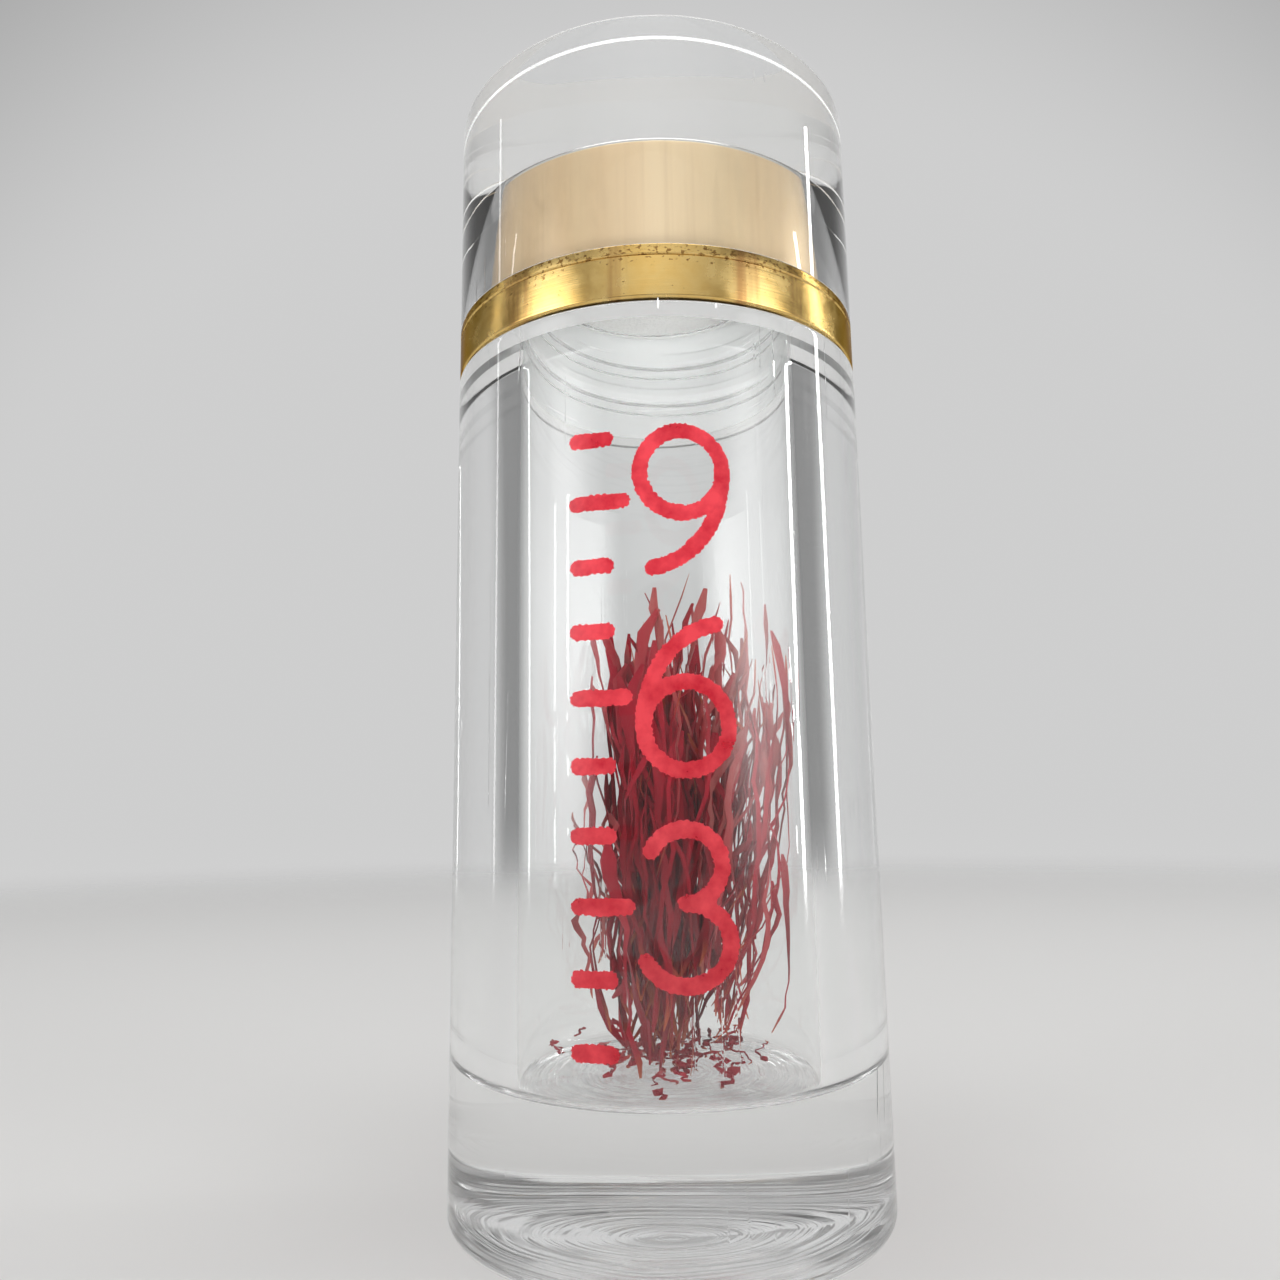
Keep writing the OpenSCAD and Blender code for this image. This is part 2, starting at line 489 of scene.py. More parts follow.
vial = {
    "boreRadius": 9.4 * mm,
    "floorZ": 8.2 * mm,
    "neckRadius": 10.1 * mm,
    "baseRound": 0.8 * mm,
    "shoulderRound": 0.3 * mm,
    "floorRound": 0.7 * mm,
    "lipRound": 0.12 * mm,
    "dimpleRadius": 3.2 * mm,
    "dimpleDepth": 0.3 * mm,
    "inkRoom": 0.02 * mm,  # the wall stands in by this, to keep the printed scale inside the CAD box
    "discRing": 0.5,  # a ring of vertices on a disc, as a share of its radius
    "plainRows": 24,  # rings of vertices up a wall without a thread
    "facedSlope": 0.6,  # upward part of the normal on a flat face
    "sharpDegrees": 50,
    "segments": 320,
}


def makeVial():
    wall = outerRadius - vial["inkRoom"]
    base, shoulder = vial["baseRound"], vial["shoulderRound"]
    lip, floor = vial["lipRound"], vial["floorRound"]
    bore, neck, floorZ = vial["boreRadius"], vial["neckRadius"], vial["floorZ"]
    profile = [(0, baseZ), (wall * vial["discRing"], baseZ)]
    profile += arc(wall - base, baseZ + base, base, -90, 0, "large")
    profile += wallRows(wall, baseZ + 2 * base, shoulderZ - 2 * shoulder, vial["plainRows"])
    profile += arc(wall - shoulder, shoulderZ - shoulder, shoulder, 0, 90, "medium")
    profile += threadRows(neck, shoulderZ, neckTop - lip)
    profile += arc(neck - lip, neckTop - lip, lip, 0, 90, "tiny")[1:]
    profile += arc(bore + lip, neckTop - lip, lip, 90, 180, "tiny")
    profile += wallRows(bore, neckTop - 3 * lip, floorZ + 2 * floor, vial["plainRows"])
    profile += arc(bore - floor, floorZ + floor, floor, 0, -90, "large")
    profile += [(vial["dimpleRadius"], floorZ), (0, floorZ - vial["dimpleDepth"])]
    ridge = helicalRidge(neckRidgeZ, thread["neckTurns"], neck, 1)
    bodyAcrylic = newAcrylic("bodyAcrylic", clearFinish)
    piece = meshFrom("clearVial", *turned(profile, vial["segments"], ridge), bodyAcrylic, "vial",
                     "clear_acrylic_body", vial["sharpDegrees"])
    reach, height, upward = faceShape(piece)
    faced = (np.abs(upward) > vial["facedSlope"]) & (height < floorZ + floor)
    threaded = (height > shoulderZ) & (reach > neck - lip)
    turnedAcrylic = newAcrylic("turnedAcrylic", turnedFinish)
    threadedAcrylic = newAcrylic("threadedAcrylic", wornFinish, wornThread)
    refinish(piece, (turnedAcrylic, faced), (threadedAcrylic, threaded))
    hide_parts("vial_body")
    return piece


clearVial = makeVial()
print("vial made")


# small bruises in the rim under the collar: half their height and width
nicks = {
    "longNick": {"halfHeight": 0.36 * mm, "halfWidth": 0.055 * mm},
    "shortNick": {"halfHeight": 0.17 * mm, "halfWidth": 0.07 * mm},
}
nickGrid = {
    "rows": 13,
    "columns": 8,
    "depth": 0.3,  # as a share of the width
}
bruise = {
    "colour": (0.80, 0.80, 0.78),
    "layers": [{"field": {"scale": 9000, "detail": 3}, "span": (0.35, 0.65), "colour": (0.96, 0.96, 0.94)}],
    "roughness": (0.25, 0.5),
    "bump": (0.5, 0.01 * mm),
}


def makeNick(name, tree, material):
    # a spindle standing in the wall: its half width is halfWidth * sqrt(1 - t * t) for t from -1 to 1
    size = nicks[name]
    centre, outwards = onSurface(*imagePoints[name], tree)
    t = np.linspace(-1, 1, nickGrid["rows"])[:, None]
    a = np.linspace(0, 2 * np.pi, nickGrid["columns"], endpoint=False)[None, :]
    half = size["halfWidth"] * np.sqrt(1 - t * t)
    out = np.array([outwards.x, outwards.y, 0]) / math.hypot(outwards.x, outwards.y)
    across = np.array([-out[1], out[0], 0])
    rise = np.array([0, 0, size["halfHeight"]])
    points = (np.array(centre) + (half * np.cos(a))[..., None] * across
              + (half * np.sin(a))[..., None] * out * nickGrid["depth"] + (t + 0 * a)[..., None] * rise)
    faces = gridFaces(nickGrid["rows"], nickGrid["columns"])
    return meshFrom(name, points.reshape(-1, 3), faces, material, "vial")


def makeNicks():
    # bruises that a knock has whitened
    tree = BVHTree.FromPolygons([v.co for v in clearVial.data.vertices],
                                [face.vertices for face in clearVial.data.polygons])
    material = layered("bruisedAcrylic", bruise)
    return {name: makeNick(name, tree, material) for name in nicks}


nickPieces = makeNicks()
print("nicks made")


cap = {
    "sleeveRadius": 11.55 * mm,
    "ceilingZ": linerTop + bondGap,
    "edge": 0.15 * mm,  # the rounding of the top edge
    "discRing": 0.5,
    "plainRows": 12,
    "seamHalf": 0.11 * mm,  # half the height of the seam's groove, and its depth
    "seamReach": 0.9,  # share of seamHalf that the groove's faces lie within
    "segments": 320,
}
seamGlue = {
    "colour": (0.7, 0.71, 0.71),
    "layers": [{"field": {"scale": 900, "detail": 3}, "span": (0.25, 0.4), "colour": (0.92, 0.93, 0.92)}],
    "roughness": (0.4, 0.8),
    "bump": (0.3, 0.02 * mm),
}


def makeCrown():
    # one clear solid, as the plate is bonded on without a gap; the seam is a fine groove of matte glue
    sleeve, ceiling = cap["sleeveRadius"], cap["ceilingZ"]
    edge, seam = cap["edge"], cap["seamHalf"]
    profile = [(0, ceiling), (sleeve * cap["discRing"], ceiling)]
    profile += arc(sleeve - edge, ceiling - edge, edge, 90, 0, "fine")
    profile += [(sleeve, collarTop)]
    profile += wallRows(capRadius, collarTop, plateZ - 2 * edge, cap["plainRows"])
    profile += [(capRadius, plateZ - seam), (capRadius - seam, plateZ), (capRadius, plateZ + seam)]
    profile += arc(capRadius - edge, capTop - edge, edge, 0, 90, "small")
    profile += [(capRadius * cap["discRing"], capTop), (0, capTop)]
    capAcrylic = newAcrylic("capAcrylic", clearFinish)
    points, faces = turned(profile, cap["segments"])
    piece = meshFrom("clearCrown", points, faces, capAcrylic, "cap", "clear_acrylic_cap")
    reach, height, _ = faceShape(piece)
    onRim = reach > capRadius - edge
    inSeam = onRim & (np.abs(height - plateZ) < seam * cap["seamReach"])
    onEdge = onRim & (height > capTop - edge)
    edgeAcrylic = newAcrylic("edgeAcrylic", wornFinish, wornEdge)
    refinish(piece, (layered("frostedSeam", seamGlue), inSeam), (edgeAcrylic, onEdge))
    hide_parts("cap_block", "cap_top_plate")
    return piece


clearCrown = makeCrown()
print("cap crown made")


liner = {
    "wall": 0.3 * mm,
    "cornerRound": 0.25 * mm,
    "discRing": 0.6,
    "segments": 256,
}
# champagne anodised metal: soft pale and brown streaks up the wall, fine draw lines and a satin grain
champagne = {
    "colour": (0.75, 0.55, 0.325),
    "values": {"Metallic": 0.6},  # satin lacquer over metal
    "layers": [
        {"field": {"scale": 260, "stretch": (1, 1, 0.03), "detail": 4},
         "span": (0.4, 0.65), "colour": (0.82, 0.64, 0.40)},
        {"field": {"scale": 1900, "stretch": (1, 1, 0.02), "detail": 3},
         "span": (0.55, 0.8), "share": (0, 0.4), "colour": (0.62, 0.44, 0.25)},
    ],
    "rough": {"scale": 3800, "stretch": (1, 1, 0.25), "detail": 2},
    "roughness": (0.34, 0.5),
    "bump": (0.25, 0.01 * mm),
}


def makeLiner():
    wall, corner = liner["wall"], liner["cornerRound"]
    inside = linerRadius - wall
    profile = [(0, linerTop), (linerRadius * liner["discRing"], linerTop)]
    profile += arc(linerRadius - corner, linerTop - corner, corner, 90, 0, "small")
    profile += [(linerRadius, capZ), (inside, capZ)]
    profile += [(inside, linerTop - wall), (0, linerTop - wall)]
    matteGold = layered("matteGold", champagne)
    piece = meshFrom("goldLiner", *turned(profile, liner["segments"]), matteGold, "cap", "matte_gold")
    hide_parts("liner_cup")


makeLiner()


collar = {
    "beadHeight": 0.55 * mm,
    "beadStep": 0.08 * mm,
    "grooveRise": 1.2,  # of the groove's lower flank, as a share of its depth
    "edgeRound": 0.06 * mm,
    "lowerRound": 0.2 * mm,
    "segments": 320,
}
# plated brass, lathe-polished: fine rings round it, brighter and duller in patches, coppery in stripes
plating = {
    "colour": (0.80, 0.53, 0.17),
    "values": {"Metallic": 1, "Specular Tint": (0.36, 0.28, 0.21)},  # tint of a glancing reflection
    "layers": [
        {"field": {"scale": 420, "detail": 4, "rough": 0.65},
         "span": (0.35, 0.75), "colour": (0.92, 0.68, 0.28)},
        {"field": {"scale": 310, "stretch": (1, 1, 0.06), "detail": 4, "rough": 0.6},
         "span": (0.54, 0.64), "share": (0, 0.8), "colour": (0.44, 0.22, 0.08)},
    ],
    "roughSpan": (0.4, 0.7),
    "roughness": (0.18, 0.34),
    "grain": {"scale": 2600, "stretch": (0.03, 0.03, 1), "detail": 3, "rough": 0.7},
    "bump": (0.45, 0.02 * mm),
}
pits = {
    "field": {"scale": 3200, "stretch": (1, 1, 1.6), "detail": 3, "rough": 0.6},
    "heights": (collarTop - 1.6 * mm, collarTop - 0.5 * mm),
    "level": (0.70, 0.57),  # a higher value than this is a pit, at the two heights
    "colour": (0.36, 0.20, 0.06),
}


def pitted(tree, colour):
    # pits, closer together near the bead
    level = spread(tree, part(tree, objectPlace(tree), "Z"), pits["heights"], pits["level"])
    inPit = maths(tree, "GREATER_THAN", field(tree, pits["field"]), level)
    return blendColours(tree, inPit, colour, pits["colour"])


def makeCollar():
    bead, step = collar["beadHeight"], collar["beadStep"]
    edge, lower = collar["edgeRound"], collar["lowerRound"]
    inner, grooveZ = cap["sleeveRadius"], collarTop - bead - step
    profile = [(inner, capZ)]
    profile += arc(collarRadius - lower, capZ + lower, lower, -90, 0, "small")
    profile += [(collarRadius, grooveZ - step * collar["grooveRise"]), (collarRadius - step, grooveZ)]
    profile += [(collarRadius, collarTop - bead)]
    profile += arc(collarRadius - edge, collarTop - edge, edge, 0, 90, "tiny")
    profile += [(inner, collarTop)]
    points, faces = turned(profile + profile[:1], collar["segments"])
    polishedGold = layered("polishedGold", plating, pitted)
    piece = meshFrom("goldCollar", points, faces, polishedGold, "cap", "polished_gold")
    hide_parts("gold_collar")
    return piece


goldCollar = makeCollar()
print("liner and collar made")


insert = {
    "innerRadius": 10.8 * mm,
    "rimRound": 0.1 * mm,
    "sharpDegrees": 50,
    "segments": 256,
}
# satin moulded plastic with a faint flow pattern
satinWhite = {
    "colour": (0.90, 0.91, 0.92),
    "layers": [{"field": {"scale": 180, "detail": 3}, "span": (0, 1), "colour": (0.95, 0.955, 0.955)}],
    "roughness": (0.3, 0.48),
    "grain": {"scale": 2600, "detail": 2},
    "bump": (0.1, 0.01 * mm),
}
seal = {
    "edgeRound": 0.2 * mm,
    "printDepth": 0.06 * mm,  # pressed in by the neck's lip
    "discRing": 0.6,
    "segments": 128,
}
# closed-cell foam: matte with fine pores, and painted shade that greys their middles
foam = {
    "colour": (0.93, 0.93, 0.91),
    "layers": [
        # painted shade: greyer towards each pore's middle
        {"field": {"poreScale": 4200}, "span": (0.1, 0.6), "share": (1, 0), "colour": (0.82, 0.82, 0.80)},
    ],
    "roughSpan": (0, 0.6),
    "roughness": (0.75, 0.95),
    "bump": (0.4, 0.05 * mm),
}


def makeInsert():
    inner, rim = insert["innerRadius"], insert["rimRound"]
    profile = [(0, sealTop), (inner, sealTop)]
    profile += threadRows(inner, sealTop - rim, capZ + rim)
    profile += [(inner + rim, capZ), (insertRadius - rim, capZ), (insertRadius, capZ + rim)]
    profile += arc(insertRadius - rim, insertTop - rim, rim, 0, 90, "tiny")
    profile += [(0, insertTop)]
    ridge = helicalRidge(capRidgeZ, thread["capTurns"], inner, -1)
    mouldedWhite = layered("mouldedWhite", satinWhite)
    piece = meshFrom("whiteInsert", *turned(profile, insert["segments"], ridge), mouldedWhite, "cap",
                     "white_plastic", insert["sharpDegrees"])
    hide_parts("screw_insert")


def makeSeal():
    edge, depth = seal["edgeRound"], seal["printDepth"]
    lipInside, lipOutside, lowZ = vial["boreRadius"], vial["neckRadius"], neckTop
    profile = [(0, lowZ), (lipInside * seal["discRing"], lowZ), (lipInside - edge, lowZ)]
    profile += [(lipInside, lowZ + depth), (lipOutside, lowZ + depth), (lipOutside + edge, lowZ)]
    profile += arc(sealRadius - edge / 2, lowZ + edge / 2, edge / 2, -90, 0, "tiny")
    profile += arc(sealRadius - edge, sealTop - edge, edge, 0, 90, "fine")
    profile += [(0, sealTop)]
    foamWhite = layered("foamWhite", foam)
    piece = meshFrom("foamSeal", *turned(profile, seal["segments"]), foamWhite, "seal", "white_foam")
    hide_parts("seal_disc")


makeInsert()
makeSeal()
print("insert and seal made")


brightRed = (0.37, 0.006, 0.022)
wrinkles = {"scale": 2400, "stretch": (1, 1, 0.15), "detail": 3}
# dry crimson stigma: redder with its tone up to one half, then paler towards a dusty rose that is a painted
# veil of reflections, wrinkled along its length with painted highlights on the wrinkles, straw-coloured at
# the thin end
saffron = {
    "colour": (0.15, 0.0005, 0.006),
    "values": {"Specular IOR Level": 0.12},  # dry threads hardly mirror
    "layers": [
        {"field": "tone", "span": (0, 0.55), "colour": brightRed},
        # painted veil: this pale dusty rose stands for a haze of reflections over the strands, not for
        # their own colour
        {"field": "tone", "span": (0.5, 1), "colour": (0.42, 0.12, 0.11)},
        # painted highlight: the raised wrinkles are lighter red
        {"field": wrinkles, "span": (0.4, 0.8), "share": (0, 0.5), "colour": brightRed},
        {"field": "along", "span": (0, 0.12), "share": (0.6, 0), "colour": (0.50, 0.16, 0.05)},
    ],
    "rough": wrinkles,
    "roughness": (0.36, 0.6),
    "bump": (0.5, 0.04 * mm),
}
# how all the strands are shaped and laid, in mm; widths are shares of a strand's full width
strand = {
    "along": 15,  # sections
    "around": 4,  # corners of a section
    "clearance": 0.15,  # from the wall of the space they fill
    "crinkles": ((9, 0.22), (21, 0.12), (37, 0.06)),  # waves along a strand: how many radians, how wide
    "upsideDown": 0.3,  # share of the strands that hang tip down
    "topGap": 0.5,  # above the highest tips
    "topDroop": 0.6,  # how much lower the highest feet stay
    "twist": (1, 5),  # radians from foot to tip
    "thin": 0.35,  # width at the foot
    "widening": 0.12,  # steady growth from foot to tip
    "trumpet": 0.43,  # growth in the flare at the tip
    "trumpetSpan": (0.55, 0.4),  # where the flare starts and how long it is
    "trumpetPower": 1.5,
    "pinched": 0.35,  # what is left of the width at the very ends
    "thickness": 0.2,
    "fold": 0.4,  # depth of the V
    "veilFrom": 19,  # height where the painted veil begins to raise the tone
    "veilOver": 14,  # height over which it does so
    "veilBy": 0.4,
    "sharpDegrees": 70,
}
# each kind of strand, in mm: how many, where its foot stands and its tip leans, each with its spread, how
# far the two places between them stray, the height of its foot, its length, width and tone
strandKinds = {
    "core": {
        "count": 190, "foot": ((-0.5, 0.0), (1.0, 2.6)), "lean": ((-0.1, 0.3), (1.5, 2.2)),
        "stray": 1.5, "startZ": (8.7, 15), "length": (11, 22), "width": (0.5, 1.15), "tone": (0.0, 0.35),
    },
    "upper": {
        "count": 56, "foot": ((-0.4, 0.5), (1.5, 2.4)), "lean": ((0.6, 0.2), (1.8, 2.2)),
        "stray": 1.8, "startZ": (13, 22), "length": (9, 19), "width": (0.45, 0.95), "tone": (0.1, 0.55),
    },
    # painted veil: the right strands' tones run high, into the pale rose that stands for a haze of
    # reflections on this side
    "right": {
        "count": 96, "foot": ((3.3, 1.2), (1.4, 3.0)), "lean": ((2.3, 0.2), (1.2, 1.6)),
        "stray": 1.7, "startZ": (9, 21), "length": (9, 20), "width": (0.4, 0.9), "tone": (0.3, 0.85),
    },
    "left": {
        "count": 14, "foot": ((-3.6, 0.5), (0.8, 2.2)), "lean": ((-0.8, 0), (0.8, 1.2)),
        "stray": 1.2, "startZ": (12, 19), "length": (5, 9), "width": (0.4, 0.8), "tone": (0.5, 1.0),
    },
    "crumbs": {
        "count": 70, "foot": ((0.2, 0), (2.8, 3.0)), "lean": ((0, 0), (0.8, 0.8)),
        "stray": 0.3, "startZ": (8.6, 9.2), "length": (0.3, 1.4), "width": (0.25, 0.6), "tone": (0.1, 0.8),
    },
}
tiny = 1e-9  # keeps a division away from zero


def pick(pair, count):
    return rng.uniform(*pair, (count, 1, 1))


def unit(vectors):
    return vectors / np.linalg.norm(vectors, axis=2, keepdims=True)


def strandPaths(kind, u):
    # each strand is a cubic curve from its foot to its leaning tip plus size * sin(radians * u + phase) for
    # each crinkle, kept inside the space
    count = kind["count"]
    foot = rng.normal(*kind["foot"], (count, 1, 2))
    tip = foot + rng.normal(*kind["lean"], (count, 1, 2))
    strays = rng.normal(0, kind["stray"], (count, 2, 2))
    first = foot + (tip - foot) / 3 + strays[:, :1]
    second = foot + (tip - foot) * 2 / 3 + strays[:, 1:]
    length, startZ = pick(kind["length"], count), pick(kind["startZ"], count)
    flat = (1 - u) ** 3 * foot + 3 * u * (1 - u) ** 2 * first + 3 * u * u * (1 - u) * second + u ** 3 * tip
    for radians, size in strand["crinkles"]:
        phase = rng.uniform(0, 2 * np.pi, (count, 1, 2))
        flat = flat + size * np.sin(radians * u + phase)
    reach = np.linalg.norm(flat, axis=2, keepdims=True)
    limit = threadsRadius / mm - strand["clearance"] - kind["width"][1] / 2
    flat = flat * np.where(reach > limit, limit / np.maximum(reach, tiny), 1)
    ceiling = threadsHigh / mm - strand["topGap"] - strand["topDroop"] * (1 - u)
    path = np.concatenate([flat, np.minimum(startZ + length * u, ceiling)], 2)
    upsideDown = rng.uniform(size=count) < strand["upsideDown"]
    path[upsideDown] = path[upsideDown, ::-1]
    return path


def strandPoints(kind):
    # a strand's section is a shallow V, half * cos v wide and half * (thickness sin v + fold cos v cos v)
    # thick: thin at first, flared at the tip and turning as it goes; u is the share of its length
    count, along, around = kind["count"], strand["along"], strand["around"]
    u = np.linspace(0, 1, along)[None, :, None]
    path = strandPaths(kind, u)
    tangent = unit(np.gradient(path, axis=1))
    turn = pick((0, 2 * np.pi), count) + pick(strand["twist"], count) * u
    side = unit(np.cross(tangent, np.concatenate([np.cos(turn), np.sin(turn), 0 * turn], 2)))
    other = np.cross(tangent, side)
    v = np.linspace(0, 2 * np.pi, around, endpoint=False)[None, None, :]
    start, reach = strand["trumpetSpan"]
    trumpet = strand["trumpet"] * np.clip((u - start) / reach, 0, 1) ** strand["trumpetPower"]
    flare = strand["thin"] + strand["widening"] * u + trumpet
    half = pick(kind["width"], count) / 2 * flare * np.where((u == 0) | (u == 1), strand["pinched"], 1)
    across = half * np.cos(v)
    thick = half * (strand["thickness"] * np.sin(v) + strand["fold"] * np.cos(v) ** 2)
    points = path[:, :, None] + across[..., None] * side[:, :, None] + thick[..., None] * other[:, :, None]
    # painted veil: higher up, the tone rises towards the pale rose that stands for a haze of reflections
    dust = strand["veilBy"] * np.clip((points[..., 2] - strand["veilFrom"]) / strand["veilOver"], 0, 1)
    tone = np.minimum(pick(kind["tone"], count) + dust, 1)
    return points * mm, np.broadcast_to(u, (count, along, around)), tone


def strandFaces(count):
    # quads along each strand, and one at each end
    along, around = strand["along"], strand["around"]
    last = (along - 1) * around
    first = np.arange(around)[None]
    one = np.concatenate([gridFaces(along, around), first[:, ::-1], first + last])
    return (one[None] + np.arange(count)[:, None, None] * along * around).reshape(-1, 4)


def makeSaffron():
    laid = [strandPoints(kind) for kind in strandKinds.values()]
    points = np.concatenate([p.reshape(-1, 3) for p, _, _ in laid])
    along = np.concatenate([u.reshape(-1) for _, u, _ in laid])
    tone = np.concatenate([t.reshape(-1) for _, _, t in laid])
    # nothing leaves the space that the CAD solid holds
    radius = np.linalg.norm(points[:, :2], axis=1)
    points[:, :2] *= np.minimum(1, threadsRadius / np.maximum(radius, tiny))[:, None]
    points[:, 2] = np.clip(points[:, 2], threadsLow, threadsHigh)
    faces = strandFaces(sum(kind["count"] for kind in strandKinds.values()))
    driedThread = layered("driedThread", saffron)
    sharp = strand["sharpDegrees"]
    piece = meshFrom("saffronThreads", points, faces, driedThread, "vial", "saffron", sharp)
    for name, values in (("along", along), ("tone", tone)):
        attribute = piece.data.attributes.new(name, "FLOAT", "POINT")
        attribute.data.foreach_set("value", values.astype(np.float32))
    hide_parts("saffron_threads")
    return piece


saffronThreads = makeSaffron()
print("saffron made:", len(saffronThreads.data.polygons), "faces")


scale = {
    "lowMark": 1,
    "highMark": 10,
    "millilitre": 3.602 * mm,  # height of 1 ml in the bore
    "numbered": (3, 6, 9),
    "left": -4.6 * mm,  # measured round the wall from the front
    "tick": 1.7 * mm,
    "longTick": 2.6 * mm,
    "stroke": 0.9 * mm,
    "numeralLeft": -1.0 * mm,
    "numeralSize": (4.6 * mm, 7.8 * mm),
    "cell": 0.06 * mm,
    "slopeStep": 0.003 * mm,  # for measuring the outline's slope
    "flattest": 0.25,  # least square of a slope, for places midway between strokes
    "pulled": 0.75,  # share of a cell from the outline within which corners move onto it
    "kept": 0.35,  # and within which corners outside it still carry ink
    "thickness": 0.012 * mm,
    "cover": 0.005 * mm,  # of the CAD's wall over the ink
    "ragged": 0.05 * mm,
    "acrossWave": (9.1, 3, 5.3),
    "upWave": (11.7, 2, 6.1),
}
# the curves of a numeral in a box 1 wide and 1 high
numerals = {
    3: (
        {"middle": (0.45, 0.76), "radii": (0.42, 0.24), "degrees": (155, -90)},
        {"middle": (0.45, 0.26), "radii": (0.50, 0.26), "degrees": (90, -155)},
    ),
    6: (
        {"middle": (0.5, 0.30), "radii": (0.5, 0.30), "degrees": (0, 360), "steps": 30},
        {"middle": (1.0, 0.30), "radii": (1.0, 0.70), "degrees": (180, 98)},
    ),
}
# screen-printed ink: slightly see-through, thicker and darker in patches, with a fine grain
ink = {
    "colour": (0.68, 0.007, 0.028),
    "values": {**acrylic["refraction"], "Transmission Weight": 0.45},
    "layers": [
        {"field": {"scale": 700, "detail": 4, "rough": 0.6},
         "span": (0.35, 0.65), "colour": (0.98, 0.06, 0.09)},
    ],
    "roughness": (0.26, 0.42),
    "grain": {"scale": 5200, "detail": 2},
    "bump": (0.2, 0.01 * mm),
}


def numeralPath(middle, radii, degrees, steps=18):
    # middle + radii * (cos a, sin a)
    a = np.radians(np.linspace(*degrees, steps + 1))
    return middle + radii * np.stack([np.cos(a), np.sin(a)], 1)


def numeralPaths(digit):
    # centre lines of a numeral; a nine is a six turned half round
    if digit == 9:
        return [1 - path for path in numeralPaths(6)]
    return [numeralPath(**curve) for curve in numerals[digit]]


def scaleStrokes():
    # every stroke as a path of points (across, height) on the unrolled wall
    strokes = []
    left = scale["left"]
    for mark in range(scale["lowMark"], scale["highMark"] + 1):
        z = vial["floorZ"] + mark * scale["millilitre"]
        tick = scale["longTick"] if mark in scale["numbered"] else scale["tick"]
        strokes.append(np.array([[left, z], [left + tick, z]]))
        if mark in scale["numbered"]:
            size = np.array(scale["numeralSize"])
            corner = np.array([scale["numeralLeft"], z - size[1] / 2])
            strokes += [corner + path * size for path in numeralPaths(mark)]
    return strokes


def distanceTo(strokes, s, z):
    # shortest distance from each place (s, z) to any stroke's centre line
    nearest = np.full(s.shape, np.inf)
    for path in strokes:
        for (s0, z0), (s1, z1) in zip(path[:-1], path[1:]):
            ds, dz = s1 - s0, z1 - z0
            t = np.clip(((s - s0) * ds + (z - z0) * dz) / (ds * ds + dz * dz), 0, 1)
            nearest = np.minimum(nearest, np.hypot(s - s0 - t * ds, z - z0 - t * dz))
    return nearest


def bentWave(along, other, wave):
    # sin(rate * along + bend * sin(otherRate * other)), with along and other in millimetres
    rate, bend, otherRate = wave
    return np.sin(along / mm * rate + bend * np.sin(other / mm * otherRate))


def inkCells():
    # a fine grid on the unrolled wall keeps the cells inside the strokes, and corners near the outline move
    # down its slope onto it, by their distance divided by the slope's square
    strokes = scaleStrokes()
    every = np.concatenate(strokes)
    cell, room = scale["cell"], scale["stroke"]
    low, high = every.min(0) - room, every.max(0) + room
    s, z = np.meshgrid(np.arange(low[0], high[0], cell), np.arange(low[1], high[1], cell))
    waves = bentWave(s, z, scale["acrossWave"]) * bentWave(z, s, scale["upWave"])

    def outline(a, b):
        return distanceTo(strokes, a, b) - scale["stroke"] / 2 + scale["ragged"] * waves

    away = outline(s, z)
    step = scale["slopeStep"]
    slopeS = (outline(s + step, z) - away) / step
    slopeZ = (outline(s, z + step) - away) / step
    steepness = np.maximum(slopeS ** 2 + slopeZ ** 2, scale["flattest"])
    pull = np.where(np.abs(away) < cell * scale["pulled"], away, 0) / steepness
    index = np.arange(s.size).reshape(s.shape)
    corners = np.stack([index[:-1, :-1], index[:-1, 1:], index[1:, 1:], index[1:, :-1]], -1).reshape(-1, 4)
    inside = (away < cell * scale["kept"]).reshape(-1)
    used, faces = np.unique(corners[inside[corners].all(1)], return_inverse=True)
    s, z = s - pull * slopeS, z - pull * slopeZ
    return s.reshape(-1)[used], z.reshape(-1)[used], faces.reshape(-1, 4)


def makeScale(material):
    # the cells are rolled round the wall on two radii r, x = r sin(s / outer) and y = -r cos(s / outer),
    # with quads between the two along each edge that only one cell has
    s, z, cells = inkCells()
    outer = outerRadius - scale["cover"]
    a = s / outer
    sheets = [np.stack([r * np.sin(a), -r * np.cos(a), z], 1) for r in (outer, outer - scale["thickness"])]
    edges = np.concatenate([cells[:, [k, (k + 1) % 4]] for k in range(4)])
    _, first, times = np.unique(np.sort(edges, 1), axis=0, return_index=True, return_counts=True)
    rim = edges[first[times == 1]]
    count = len(s)
    walls = np.stack([rim[:, 0], rim[:, 0] + count, rim[:, 1] + count, rim[:, 1]], 1)
    faces = np.concatenate([cells, cells[:, ::-1] + count, walls])
    return meshFrom("printedScale", np.concatenate(sheets), faces, material, "vial")


printedScale = makeScale(layered("screenInk", ink))
print("scale made:", len(printedScale.data.polygons), "faces")


studio = {
    "floorColour": (0.80, 0.795, 0.785),
    "floorFinish": {"Roughness": 0.7},
    "floorZ": -0.1 * mm,  # a breath of air under the base, as on real paper
    "floorRadius": 600 * mm,
    "floorSides": 96,
    "floorFade": (110 * mm, 480 * mm),  # from the middle, where it gives way to the background
    "behind": 0.62,  # brightness beyond the vial, along +Y
    "aside": 0.25,  # and everywhere else above the floor
    "below": 0.66,  # and below the horizon
    "turnOver": (0.50, 0.80),  # share of +Y in a direction, from aside to behind
    "sink": (0.0, 0.16),  # share of -Z, down to below
}
openCone = 90  # degrees; such a lamp shines all round
